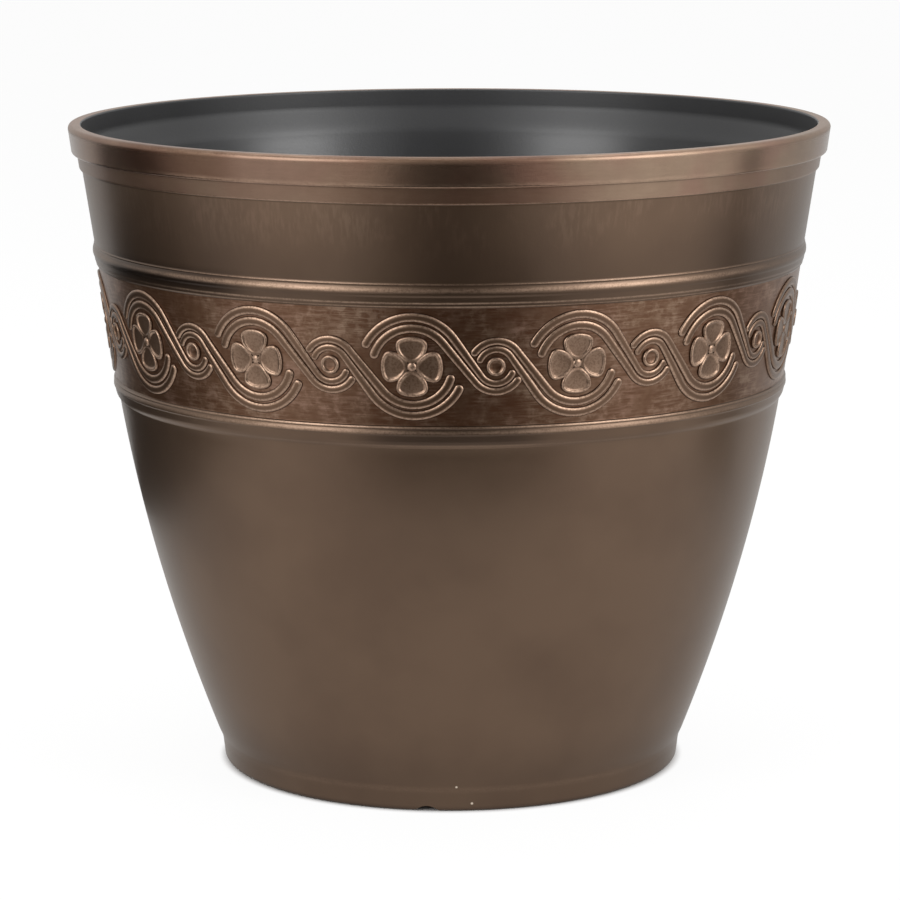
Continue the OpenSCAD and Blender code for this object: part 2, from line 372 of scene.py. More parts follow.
def section(bm, rubbed, where, direction, width, corner=CORNER):
    """Half of a strand's section in mm, upright at a place and spread along a direction."""
    right = [bm.verts.new((0, 0, RELIEF))]
    for step in range(SECTION_STEPS):
        spun = bmesh.ops.spin(
            bm, geom=[right[-1]], cent=(0, 0, 0), axis=(0, 1, 0), dvec=(0, 0, 0),
            angle=math.pi / 2 / SECTION_STEPS, steps=1, use_merge=False, use_duplicate=False,
        )
        right.append(verts_of(spun["geom_last"])[0])
    for v in right:
        v.co.x *= width / 2 / RELIEF
        v.co.z = RELIEF * (max(v.co.z, 0) / RELIEF) ** BROAD
        shoulder = max(0, min(1, (2 * v.co.x / width - SHOULDER_FROM) / SHOULDER_OVER))
        # The low sides and the foot get negative values, which the paint turns into dark corners: partly the
        # first coat, partly painted shade.
        v[rubbed] = TOP_RUB + (1 - TOP_RUB) * shoulder if v.co.z > 0.1 else -0.8
    for x, z in ((width / 2 + corner, LIP), (width / 2 + corner, -SUNK), (0, -SUNK)):
        right.append(bm.verts.new((x, 0, z)))
        right[-1][rubbed] = -1.0
        bm.edges.new(right[-2:])
    for v in right:
        v.co = where + direction * v.co.x + Vector((0, 0, v.co.z))
    return right


def whole_section(bm, rubbed, where, direction, width):
    """The same section with its other half."""
    right = section(bm, rubbed, where, direction, width)
    edges = list({e for v in right for e in v.link_edges})
    plane = Matrix.Translation(where) @ direction.to_track_quat("X", "Z").to_matrix().to_4x4()
    made = bmesh.ops.mirror(
        bm, geom=right + edges, matrix=plane.inverted(), axis="X", mirror_u=False, merge_dist=-1
    )
    left = verts_of(made["geom"])
    bmesh.ops.remove_doubles(bm, verts=right + left, dist=1e-4)
    alive = [v for v in right + left if v.is_valid]
    return alive + list({e for v in alive for e in v.link_edges})


print("A section has", 2 * (SECTION_STEPS + 3), "points")

# %% [markdown]
# The strand's way follows two circles and the straight line that touches both. The angle at which the
# line leaves the first circle comes from the two radii and the distance between the centres. On the
# straight line the whole section narrows, the foot too, so the foot of the end cap narrows with it.

# %% One strand, drawn flat
ARCH_STEPS, SLOPE_STEPS, LOOP_STEPS, CAP_STEPS = 26, 8, 18, 8


def ease(start, finish, t):
    """A value that goes softly from start to finish while t goes from 0 to 1."""
    return start + (finish - start) * (3 - 2 * t) * t * t


def strand(arch_r, arch_w, start, loop_r, loop_w, finish):
    """One strand as a bmesh in mm, with its flower at the origin and its boss at BOSS_AT."""
    bm = bmesh.new()
    rubbed = bm.verts.layers.float.new("rubbed")
    lean = math.acos((arch_r + loop_r) / BOSS_AT)
    start, finish = math.radians(start), math.radians(finish)
    flower, boss = Vector((0, 0, 0)), Vector((BOSS_AT, 0, 0))

    outwards = Vector((math.cos(start), math.sin(start), 0))
    ring = whole_section(bm, rubbed, flower + outwards * arch_r, outwards, arch_w)
    ring = bmesh.ops.spin(
        bm, geom=ring, cent=flower, axis=(0, 0, 1), dvec=(0, 0, 0),
        angle=lean - start, steps=ARCH_STEPS, use_merge=False, use_duplicate=False,
    )["geom_last"]

    leaving = Vector((math.cos(lean), math.sin(lean), 0))
    along = boss - leaving * loop_r - (flower + leaving * arch_r)
    for step in range(SLOPE_STEPS):
        made = bmesh.ops.extrude_edge_only(bm, edges=edges_of(ring))["geom"]
        ring = verts_of(made) + [e for e in edges_of(made) if all(v in verts_of(made) for v in e.verts)]
        bmesh.ops.translate(bm, verts=verts_of(ring), vec=along / SLOPE_STEPS)
        middle = flower + leaving * arch_r + along * (step + 1) / SLOPE_STEPS
        before, after = (ease(arch_w, loop_w, passed / SLOPE_STEPS) for passed in (step, step + 1))
        for v in verts_of(ring):
            off = (v.co - middle).dot(leaving)
            v.co += leaving * off * (after / before - 1)

    ring = bmesh.ops.spin(
        bm, geom=ring, cent=boss, axis=(0, 0, 1), dvec=(0, 0, 0),
        angle=math.pi - lean - finish, steps=LOOP_STEPS, use_merge=False, use_duplicate=False,
    )["geom_last"]

    inwards = Vector((math.cos(finish), -math.sin(finish), 0))
    ends = ((flower + outwards * arch_r, outwards, arch_w), (boss + inwards * loop_r, inwards, loop_w))
    for where, direction, width in ends:
        half = section(bm, rubbed, where, direction, width, CORNER * width / arch_w)
        edges = list({e for v in half for e in v.link_edges})
        bmesh.ops.spin(
            bm, geom=half + edges, cent=where, axis=(0, 0, 1), dvec=(0, 0, 0),
            angle=math.pi, steps=CAP_STEPS, use_merge=False, use_duplicate=False,
        )
    bmesh.ops.remove_doubles(bm, verts=bm.verts, dist=0.01)
    return bm


OUTER = dict(arch_r=24.05, arch_w=4.3, start=153.5, loop_r=8.3, loop_w=3.4, finish=24)
INNER = dict(arch_r=18.65, arch_w=4.3, start=162, loop_r=12.35, loop_w=3.7, finish=34)
trial = strand(**OUTER)
print("One strand has", len(trial.faces), "faces and", sum(e.is_boundary for e in trial.edges), "open edges")
trial.free()

# %% [markdown]
# Both strands are drawn twice for each flower: once as they are, and once turned half round about the
# flower, so that the pattern runs on without an end. They are gathered in one bmesh, wrapped, and
# copied round the band.

# %% All the scrolls
scroll_mesh = bmesh.new()
scroll_mesh.verts.layers.float.new("rubbed")
quarter = TURN / FLOWERS / 4
for upside_down in (False, True):
    for shape in (OUTER, INNER):
        flat = strand(**shape)
        wrap(flat.verts, BOSS_AT / 2, -quarter if upside_down else quarter, upside_down)
        kept = bpy.data.meshes.new("strand")
        flat.to_mesh(kept)
        flat.free()
        scroll_mesh.from_mesh(kept)
        bpy.data.meshes.remove(kept)
copy_round(scroll_mesh)
bmesh.ops.recalc_face_normals(scroll_mesh, faces=scroll_mesh.faces)
scrolls = to_object(scroll_mesh, "scrolls", crease=ORNAMENT_CREASE)
report(scrolls)

# %% [markdown]
# ## The flowers
# Each flower has four broad petals with a rolled edge and a flat, slightly hollow middle, round a small
# domed eye. A petal could be sculpted, but its sections are simple: a round face is pushed to the
# petal's outline, then inset and raised or lowered a few times, which is how the rolled edge comes out
# even all the way round. Towards the eye the edge melts into the middle until the petals run together.

# %% One petal
PETAL_MID, PETAL_HALF_L, PETAL_HALF_W = 8.3, 6.5, 7.3
PETAL_SIDES, PETAL_BLUNT, PETAL_SPREAD, PETAL_FLOOR = 44, 0.88, 0.3, 0.6
MELT_FROM, MELT_OVER, MELT_RUB = 2.4, 3.4, 0.35
PETAL_INSETS = (
    (CORNER, LIP, -0.8), (0.04, PETAL_FLOOR - 2 * LIP, 1.0), (0.18, 0.40, 1.0), (0.3, 0.27, 1.0),
    (0.4, 0.1, 1.0), (0.38, -0.1, 1.0), (0.3, -0.28, 0.8), (0.28, -0.26, 0.55), (0.5, -0.08, 0.43),
)


def petal(bm, rubbed, turn):
    """One petal in mm, pointing away from the origin at that turn."""
    before = set(bm.verts)
    made = bmesh.ops.create_circle(bm, cap_ends=True, cap_tris=False, segments=PETAL_SIDES, radius=1.0)
    for v in made["verts"]:
        c, s = v.co.x, v.co.y
        v.co.x = PETAL_MID + (PETAL_HALF_L + CORNER) * (abs(c) ** PETAL_BLUNT) * (1 if c > 0 else -1)
        v.co.y = (PETAL_HALF_W + CORNER) * s * (1 + PETAL_SPREAD * c)
        v.co.z = -SUNK
    face = made["verts"][0].link_faces[0]
    raised = bmesh.ops.extrude_face_region(bm, geom=[face])["geom"]
    top = [g for g in raised if isinstance(g, bmesh.types.BMFace)]
    bmesh.ops.translate(bm, verts=verts_of(raised), vec=(0, 0, SUNK + LIP))
    for v in bm.verts:
        if v not in before:
            v[rubbed] = -1.0
    for thickness, lift, rub in PETAL_INSETS:
        bmesh.ops.inset_region(
            bm, faces=top, thickness=thickness, depth=0, use_even_offset=True, use_boundary=True
        )
        inner = list({v for f in top for v in f.verts})
        bmesh.ops.translate(bm, verts=inner, vec=(0, 0, lift))
        for v in inner:
            v[rubbed] = rub
    verts = [v for v in bm.verts if v not in before]
    for v in verts:
        if v.co.z > PETAL_FLOOR:
            kept = min(1, max(0, (v.co.x - MELT_FROM) / MELT_OVER))
            v.co.z = PETAL_FLOOR + (v.co.z - PETAL_FLOOR) * kept
            v[rubbed] *= MELT_RUB + (1 - MELT_RUB) * kept
    bmesh.ops.rotate(bm, verts=verts, cent=(0, 0, 0), matrix=Matrix.Rotation(turn, 3, "Z"))


print("A petal is", round(2 * PETAL_HALF_L, 1), "mm long, in", len(PETAL_INSETS), "insets")

# %% [markdown]
# The eye is a small turned piece, and so are the bosses later, so one helper spins both from an outline
# that also says how far each point is rubbed. With four petals and an eye, one flower is wrapped on the
# band and copied round it.

# %% All the flowers
BUTTON_STEPS, EYE_R = 28, 2.3


def button(bm, rubbed, points):
    """A small turned piece on the flat drawing's origin, from (radius, height, rubbed)."""
    corners = [bm.verts.new((r, 0, z)) for r, z, _ in points]
    for corner, (_, _, rub) in zip(corners, points):
        corner[rubbed] = rub
    for low, high in zip(corners, corners[1:]):
        bm.edges.new((low, high))
    edges = list({e for v in corners for e in v.link_edges})
    bmesh.ops.spin(
        bm, geom=corners + edges, cent=(0, 0, 0), axis=(0, 0, 1), dvec=(0, 0, 0),
        angle=TURN, steps=BUTTON_STEPS, use_merge=True, use_normal_flip=False, use_duplicate=False,
    )


EYE_FOOT = [(0, -SUNK, -1), (EYE_R, -SUNK, -1), (EYE_R, LIP, -1)]
EYE_DOME = [
    (EYE_R * math.cos(a), 0.1 + (EYE_H - 0.1) * math.sin(a) ** 0.8, 1.0)
    for a in (TURN / 24 * i for i in range(1, 7))
]
flower_mesh = bmesh.new()
rubbed = flower_mesh.verts.layers.float.new("rubbed")
for petal_number in range(4):
    petal(flower_mesh, rubbed, TURN * petal_number / 4)
button(flower_mesh, rubbed, EYE_FOOT + EYE_DOME)
bmesh.ops.remove_doubles(flower_mesh, verts=flower_mesh.verts, dist=1e-3)
wrap(flower_mesh.verts, 0, 0)
copy_round(flower_mesh)
bmesh.ops.recalc_face_normals(flower_mesh, faces=flower_mesh.faces)
flowers = to_object(flower_mesh, "flowers", crease=ORNAMENT_CREASE)
report(flowers)

# %% [markdown]
# ## The bosses
# Between two flowers sits a small round boss with a wide dished middle, like a button. It is a turned
# shape, so its outline is spun on the spot and wrapped like the rest.

# %% All the bosses
BOSS_R = 4.85
BOSS_OUTLINE = [
    (0, -SUNK, -1), (BOSS_R, -SUNK, -1), (BOSS_R, LIP, -1), (4.65, 0.05, -0.8), (4.62, 0.8, 0.9),
    (4.45, 1.25, 1), (4.15, 1.55, 1), (3.8, 1.66, 1), (3.45, 1.58, 1), (3.15, 1.3, 0.8),
    (2.9, 0.95, 0.1), (2.5, 0.75, 0), (1.5, 0.66, 0), (0, 0.64, 0),
]
boss_mesh = bmesh.new()
rubbed = boss_mesh.verts.layers.float.new("rubbed")
button(boss_mesh, rubbed, BOSS_OUTLINE)
bmesh.ops.remove_doubles(boss_mesh, verts=boss_mesh.verts, dist=1e-3)
wrap(boss_mesh.verts, 0, TURN / FLOWERS / 2)
copy_round(boss_mesh)
bmesh.ops.recalc_face_normals(boss_mesh, faces=boss_mesh.faces)
bosses = to_object(boss_mesh, "bosses", crease=ORNAMENT_CREASE)
report(bosses)

# %% [markdown]
# ## The drain plugs
# A pot like this is often sold with its holes stopped by small rubber plugs that a gardener pulls out.
# Each has a stem in the hole, a thin flange on the floor and a grip with a bead on top. Again it is a
# turned shape, so an outline with rounded corners is spun, and then moved and turned to its hole.

# %% Three plugs
PLUG_OUTLINE = [
    (0, 6.0, 0), (4.95, 6.0, 0.4), (6.4, 7.5, 0.5), (6.4, FLOOR_TOP, 0), (11.0, FLOOR_TOP, 0.25),
    (11.0, 14.6, 0.4), (7.2, 15.15, 0.4), (3.1, 15.2, 0.5), (3.0, 17.6, 0.6), (4.0, 18.7, 0.6),
    (3.9, 20.2, 0.8), (0, 20.2, 0),
]
PLUG_STEPS = 56
plugs = {}
for number, side in enumerate(("front", "right", "left")):
    plug_mesh = bmesh.new()
    outline(plug_mesh, PLUG_OUTLINE)
    turn_on_lathe(plug_mesh, PLUG_STEPS)
    merge(plug_mesh)
    bmesh.ops.translate(plug_mesh, verts=plug_mesh.verts, vec=(0, -DRAIN_AT * MM, 0))
    around = Matrix.Rotation(TURN * number / DRAINS, 3, "Z")
    bmesh.ops.rotate(plug_mesh, verts=plug_mesh.verts, cent=(0, 0, 0), matrix=around)
    plugs[side] = to_object(plug_mesh, f"plug_{side}", crease=40)
    report(plugs[side])

# %% [markdown]
# ## Hang every piece on its body
# The pot and its ornament move as one, and each plug lifts out by itself. Each new piece stands in for
# the measured solid of the same part, which stays behind for collision, hidden.

# %% Bodies and stand-ins
for piece, node in (
    (pot, "pot_shell"), (scrolls, "frieze_scrolls"), (flowers, "frieze_flowers"), (bosses, "frieze_bosses"),
):
    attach(piece, "pot")
    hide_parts(node)
for side, piece in plugs.items():
    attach(piece, f"plug_{side}")
    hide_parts(f"drain_plug_{side}")

# %% [markdown]
# ## A class for paint
# Node trees grow long when every node is placed by hand. One small class wraps a socket, so that
# ordinary sums on it add the Math nodes, and one method adds any other node. The other methods are the
# few moves that every finish makes: a soft step, a ring round a height, a blend of two colours, a height
# or a direction on the pot, and noise. A finish below then reads like a recipe.

# %% Sockets that can be added and multiplied
class Signal:
    """One socket of a material's node tree, on which arithmetic adds Math nodes."""

    def __init__(self, tree, socket=None):
        self.tree, self.socket = tree, socket

    def node(self, kind, inputs=None, output=0, **settings):
        """Adds a node: first its settings, then the values or links of its sockets."""
        made = self.tree.nodes.new("ShaderNode" + kind)
        for name, value in settings.items():
            setattr(made, name, value)
        for key, value in (inputs or {}).items():
            if isinstance(value, Signal):
                self.tree.links.new(value.socket, made.inputs[key])
            else:
                made.inputs[key].default_value = value
        return Signal(self.tree, made.outputs[output] if made.outputs else None)

    def math(self, operation, *values):
        return self.node("Math", dict(enumerate(values)), operation=operation)

    def __add__(self, other):
        return self.math("ADD", self, other)

    def __sub__(self, other):
        return self.math("SUBTRACT", self, other)

    def __rsub__(self, other):
        return self.math("SUBTRACT", other, self)

    def __mul__(self, other):
        return self.math("MULTIPLY", self, other)

    __radd__, __rmul__ = __add__, __mul__

    def step(self, low, high):
        """0 below low, 1 above high and a soft rise between them. With low over high it falls."""
        return self.node(
            "MapRange", {"Value": self, "From Min": low, "From Max": high}, interpolation_type="SMOOTHSTEP"
        )

    def ring(self, middle, half):
        """1 at the middle of a band, falling softly to 0 at half its width to either side."""
        return 1 - self.math("ABSOLUTE", self - middle).step(0, half)

    def mix(self, low, high):
        """Blends two colours by this signal, as a factor."""
        return self.node("Mix", {0: self, 6: low, 7: high}, output=2, data_type="RGBA")

    def scaled(self, x, y, z):
        """A vector signal with each axis scaled."""
        return self.node("VectorMath", {0: self, 1: (x, y, z)}, operation="MULTIPLY")

    def height(self):
        """On a place: how high it is, in mm."""
        return self.node("SeparateXYZ", {"Vector": self}, output="Z") * 1000

    def facing(self, degrees):
        """On a place: 1 in a direction round the pot, in degrees right of the front, to -1 opposite."""
        outwards = self.node("VectorMath", {0: self.scaled(1, 1, 0)}, operation="NORMALIZE")
        way = (math.sin(math.radians(degrees)), -math.cos(math.radians(degrees)), 0)
        return self.node("VectorMath", {0: outwards, 1: way}, output="Value", operation="DOT_PRODUCT")

    def noise(self, scale, detail, roughness, x=1.0, y=1.0, z=1.0):
        """Cloudy noise on a place, from 0 to 1, stretched along an axis by a small factor on it."""
        fineness = {"Scale": scale, "Detail": detail, "Roughness": roughness}
        return self.node("TexNoise", {"Vector": self.scaled(x, y, z), **fineness})


print("A signal knows:", ", ".join(name for name in vars(Signal) if not name.startswith("_")))

# %% [markdown]
# Colours are chosen on a screen, but a shader reckons in linear light, so one helper turns the one into
# the other. Two more open and close a finish, so that each recipe holds only what is its own.

# %% Helpers that every finish uses
def colour(red, green, blue):
    """A colour written as on screen, from 0 to 255, in the linear values that shaders use."""
    screen = (red / 255, green / 255, blue / 255)
    return tuple(c / 12.92 if c <= 0.04045 else ((c + 0.055) / 1.055) ** 2.4 for c in screen) + (1.0,)


def new_finish(name):
    """An empty material and a signal that stands for its node tree."""
    material = bpy.data.materials.new(name)
    material.use_nodes = True
    material.node_tree.nodes.clear()
    return material, Signal(material.node_tree)


def close_finish(signal, **sockets):
    """Ends a finish with one surface shader."""
    names = {key.replace("_", " ").title().replace("Ior", "IOR"): value for key, value in sockets.items()}
    shader = signal.node("BsdfPrincipled", names)
    signal.node("OutputMaterial", {"Surface": shader})


print("A screen grey of 128 is", round(colour(128, 128, 128)[0], 3), "in linear light")

# %% [markdown]
# ## The bronze paint
# The real finish is sprayed in two coats: a dark brown one, then a thin metallic one that is rubbed
# back, so ridges are lighter and copper-coloured and the corners stay dark. The paint here works the
# same way, and it also carries painted shade and painted light. A few colours are enough, because all
# the rest is how much of each shows at a place. They go from a dark brown to the pale copper of a
# rubbed edge, and the last is the spot that a chip leaves.

# %% Colours of the bronze
# SHADOW is used only for painted shade. GROOVE darkens the corners, partly as the dark first coat and partly
# as painted shade.
SHADOW = colour(40, 27, 18)
GROOVE = colour(60, 35, 20)
UMBER = colour(76, 43, 23)
RUST = colour(122, 81, 52)
BROWN = colour(86, 67, 53)
TAN = colour(100, 80, 64)
BLUSH = colour(150, 119, 103)
COPPER = colour(154, 131, 111)
PALE = colour(170, 142, 121)
CHIPPED = colour(205, 190, 172)
print("The darkest and the palest brown in linear light:", round(SHADOW[0], 3), round(PALE[0], 3))

# %% [markdown]
# A pattern first has to know where it is on the pot. Object coordinates give the place in the pot's own
# frame, so the paint stays where it is when the pot or the camera moves. Heights pick out the bands, and
# the ornament brings its own value for how far each point is rubbed. Noise at several scales gives slow
# clouds on the body, smoke, brush streaks along the band and up the neck, mottling, and a fine grain
# that breaks everything up.

# %% Where a point lies
bronze, paint = new_finish("bronze_paint")
place = paint.node("TexCoord", output="Object")
z = place.height()
rub = paint.node("Attribute", output="Fac", attribute_name="rubbed")

on_body = z.step(BODY_TOP + 2, BODY_TOP - 2)
on_band = z.step(GROUND_LOW - 0.1, GROUND_LOW + 0.2) * z.step(GROUND_TOP + 0.1, GROUND_TOP - 0.2)
on_neck = z.step(NECK_LOW, NECK_LOW + 3)
on_collar = z.step(COLLAR_LOW - 0.1, COLLAR_LOW + 0.3)
on_rim = z.step(RIM_LOW - 0.3, RIM_LOW + 0.1)
ground = on_band * (1 - rub.step(0.0, 0.1))

clouds = place.noise(17, 3, 0.5)
smoke = place.noise(48, 3, 0.6)
streaks = place.noise(120, 3, 0.65, x=0.8, y=0.8, z=8.0)
mottle = place.noise(170, 4, 0.65)
brush = place.noise(430, 2, 0.6, z=0.17)
grain = place.noise(950, 2, 0.7)
print("Nodes for the places and the noise:", len(bronze.node_tree.nodes))

# %% [markdown]
# The paint also holds painted light and shade that go with a direction round the pot. It has painted
# shade in front on the rim, on the collar under it and on the flare of the lower bead, and in one band
# on the left. At both sides the ornament and the beads are less pale, as painted shade, and the band's
# ground is lighter, as painted light. On the right, one stretch of the collar is warmer and lighter, a
# painted reflection. Each of these is a soft mask from a direction round the pot, which is fixed to the
# pot like the rest.

# %% Which side a point is on
# These masks place painted shade and painted light: front, ahead, left_band and left_rim darken, aside fades
# the pale metal and lightens the ground, and the mask on the collar's right is a painted reflection.
FRONT, SIDE = 6.3, 96.3
ahead = place.facing(FRONT)
aside = paint.math("ABSOLUTE", place.facing(SIDE))
front = ahead.step(0.955, 0.993)
left_band = place.facing(-44.2).step(0.94, 0.985)
left_rim = place.facing(-37.1).step(0.97, 0.995)
# A warmer, lighter stretch on the right of the collar: a painted reflection.
right_painted_sheen = on_collar * place.facing(43).step(0.902, 0.992) * (smoke * 0.6 + 0.5)
print("Nodes with the directions:", len(bronze.node_tree.nodes))

# %% [markdown]
# Now it can be said how much happens where. The beads and edges are rubbed by their height: each has its
# middle, half its width and its share of wear. Edges and ridges let the pale metal through, the flat
# ground keeps patches of it, and stains keep more of the first, redder coat. Painted shade is mixed in
# with these: the pale metal fades at both sides, the stains also darken the front and the left, and
# some stretches are painted darker. A few brush marks hang from the collar.

# %% How much is rubbed, stained or painted in shade
WORN_RINGS = (
    (FOOT_TOP, 2.5, 0.12), (194.6, 0.8, 0.2), (201.3, 1.5, 0.75), (203.8, 0.8, 1.0),
    (262.6, 0.6, 0.8), (264.4, 0.8, 0.9), (270.6, 1.8, 0.8), (273.4, 0.5, 0.7),
    (COLLAR_LOW + 0.4, 0.8, 0.9), (RIM_LOW + 1.1, 2.0, 0.7),
)
rings = sum(z.ring(middle, half) * share for middle, half, share in WORN_RINGS)
# The rim's top is rubbed less at its front, and every ring less at both sides: painted shade.
rings = rings + z.ring(POT_TOP - 1.0, 2.0) * (0.6 - front * 0.4)
rings = rings * (1 - aside.step(0.6, 0.88) * 0.7)
edge = rings * (streaks.step(0.35, 0.65) * 0.4 + 0.15 + grain.step(0.35, 0.6) * 0.45)
# At both sides the ridges are less pale: painted shade.
ridge = rub.step(0.05, 0.95) * (grain.step(0.32, 0.6) * 0.55 + 0.3) * (1 - aside.step(0.77, 0.92) * 0.65)
# The dark first coat in the ornament's corners, partly painted contact shade.
corner = rub.step(0.0, -0.9)
# The front of the rim's top: painted darker as painted shade, and made duller.
painted_shade_top = z.step(POT_TOP - 1.2, POT_TOP - 0.3) * ahead.step(0.93, 0.985)

# Painted shade: the foot, the front of the lower bead's flare and a band on the left round the upper bead
# are painted darker. The band and the foot of the neck are darker too, fading out up the neck.
flare = front * z.step(BODY_TOP + 1, BODY_TOP + 2) * z.step(GROUND_LOW, GROUND_LOW - 1)
dim_and_painted_shade = (
    z.step(COLLAR_LOW, NECK_LOW) * z.step(GROUND_LOW - 1, GROUND_LOW) * 0.3 + z.step(45, 15) * 0.22
    + flare * 0.6 + left_band * z.ring(269, 9) * 0.7
)
# Real stains: mottle and streaks on the ground and smoke on the collar. Painted shade: the front of the
# ground, the collar and the rim, the left of the collar and the rim, and the front of the rim's top.
stain_and_painted_shade = (
    ground * (mottle.step(0.6, 0.38) * 0.27 + streaks.step(0.5, 0.35) * 0.22 + front * 0.25)
    + on_collar * (ahead.step(0.925, 0.985) * 0.6 + left_band * 0.25 + smoke.step(0.6, 0.35) * 0.12)
    + on_rim * (ahead.step(0.925, 0.975) * 0.3 + left_rim * 0.5) + painted_shade_top * 0.55
)
patches = ground * smoke.step(0.35, 0.6) * (streaks.step(0.45, 0.66) * 0.7 + mottle.step(0.45, 0.66) * 0.7)
marks = z.step(280, 306) * z.step(COLLAR_LOW, COLLAR_LOW - 1) * brush.step(0.4, 0.65) * smoke.step(0.4, 0.6)
polish = (on_collar * 0.24 + on_rim * 0.15) * (mottle * 0.5 + streaks * 0.5 + 0.5)
# Less polish on the left of the rim: painted shade.
polish = polish * (1 - on_rim * left_rim * 0.6)
print("Nodes with the wear:", len(bronze.node_tree.nodes))

# %% [markdown]
# The coats go on in the order of the real work, with painted shade and light among them: the cloudy
# brown, its darker stretches and painted shade, the rust on the band, lighter at both sides as painted
# light, the stains with their painted shade, the warm metal that stays on flat places with a painted
# reflection on the right of the collar, the pale metal on edges, and last the dark corners, partly
# painted shade. Two tiny chips near the foot are told by their distance from a point, in metres.

# %% Lay the coats
CHIPS = ((0.01498, -0.11997, 0.0131), (0.02243, -0.11727, 0.0043))
CHIP_R, CHIP_CORE = 0.0008, 0.0004
base = (clouds.step(0.25, 0.75) * 0.75 + smoke * 0.2 + grain * 0.15 + on_body * 0.2).mix(BROWN, TAN)
# The darker stretches and the painted shade.
base = (dim_and_painted_shade * (1 - rings)).mix(base, SHADOW)
# More rust towards both sides lightens the band's ground there: painted light.
base = (on_band * 0.17 + ground * (aside * 0.24 + 0.02)).mix(base, RUST)
# The stains and their painted shade.
base = stain_and_painted_shade.mix(base, UMBER)
warm = place.noise(26, 2, 0.5).step(0.35, 0.65).mix(BLUSH, COPPER)
base = (patches * 0.42 + marks * 0.1 + polish + right_painted_sheen * 0.35).mix(base, warm)
base = (edge * 0.6 + ridge).mix(base, PALE)
# The dark corners, partly painted shade.
base = corner.mix(base, GROOVE)
for chip in CHIPS:
    near = paint.node("VectorMath", {0: place, 1: chip}, output="Value", operation="DISTANCE")
    base = near.step(CHIP_R, CHIP_CORE).mix(base, CHIPPED)
print("Nodes with the coats:", len(bronze.node_tree.nodes))

# %% [markdown]
# Colour alone would look printed. The rim is glossier than the rest, its top duller, most of all at the
# front, and the grain and the streaks are also felt as a very low relief. The whole paint is a metal
# under a thin clear coat.

# %% Gloss and relief
rough = 0.3 + clouds * 0.05 + grain * 0.08 - on_rim * 0.12
rough = rough + z.step(POT_TOP - 4, POT_TOP - 1) * 0.2 + painted_shade_top * 0.4
relief = (
    grain * 0.5 + smoke * 0.3 + streaks * on_band * 0.8 + brush * on_neck * 0.3
    + (mottle + streaks) * on_collar * 0.4
)
close_finish(
    paint, base_color=base, metallic=0.92, specular_tint=(0.68, 0.67, 0.65, 1), roughness=rough,
    normal=paint.node("Bump", {"Strength": 0.2, "Distance": 0.0003, "Height": relief}),
    coat_weight=0.25, coat_roughness=0.26,
)
print("The bronze paint has", len(bronze.node_tree.nodes), "nodes")

# %% [markdown]
# ## Bare resin
# The inside is the moulding's own colour, a neutral dark grey with a satin skin and faint flow marks. It
# is a little glossier below the rim's straight band, and painted a little lighter there as painted light.
# High on the wall it has painted light at the front and back and painted shade towards both sides. It is
# a plain plastic, so slow changes of tone and gloss and a fine grain are all it needs.

# %% Resin
resin, skin = new_finish("bare_resin")
place = skin.node("TexCoord", output="Object")
flow = place.noise(14, 3, 0.6, z=0.3)
grain = place.noise(700, 2, 0.6)
z = place.height()
deep, high = z.step(318, 305), z.step(120, 270)
across = place.facing(SIDE)
sides = across.step(0.3, 0.9) + across.step(-0.45, -0.95)
# Lighter below the rim's band: painted light.
base = (flow * 0.5 + grain * 0.2 + deep * 0.25).step(0.2, 0.7).mix(colour(24, 24, 25), colour(51, 51, 52))
# Painted light at the front and back, high on the wall.
base = (across.ring(0.02, 0.6) * high * 0.4).mix(base, colour(62, 62, 63))
# Painted shade towards both sides, high on the wall.
base = (sides * high * 0.55).mix(base, colour(27, 27, 28))
close_finish(
    skin, base_color=base, roughness=0.41 + flow * 0.08 - deep * 0.16, specular_ior_level=0.6,
    normal=skin.node("Bump", {"Strength": 0.12, "Distance": 0.0003, "Height": grain}),
)

print("The resin has", len(resin.node_tree.nodes), "nodes")

# %% [markdown]
# ## Rubber
# The plugs are soft black rubber, duller than the resin, and a little dust lies on them. Then every
# piece gets its finish. The pot has two, the paint for its outer faces and the resin for its inner ones.

# %% Rubber, and a finish for every piece
rubber, skin = new_finish("soft_rubber")
place = skin.node("TexCoord", output="Object")
dust = place.noise(220, 4, 0.65)
base = dust.step(0.45, 0.8).mix(colour(30, 30, 31), colour(58, 57, 55))
close_finish(
    skin, base_color=base, roughness=0.62 + dust * 0.2,
    normal=skin.node("Bump", {"Strength": 0.2, "Distance": 0.0003, "Height": dust}),
)
pot.data.materials.append(bronze)
pot.data.materials.append(resin)
for piece in (scrolls, flowers, bosses):
    piece.data.materials.append(bronze)
for piece in plugs.values():
    piece.data.materials.append(rubber)
print("Finishes:", [m.name for m in bpy.data.materials])

# %% [markdown]
# ## The floor
# The planter stands on a plain white floor in a studio. The floor is white for the camera and in
# reflections, but it takes the object's shadow, so its shader is a blend of plain white paint and white
# light, by the kind of ray that asks. Under the pot it is only lit, so it goes dark there, as it should
# in the notches of the foot.

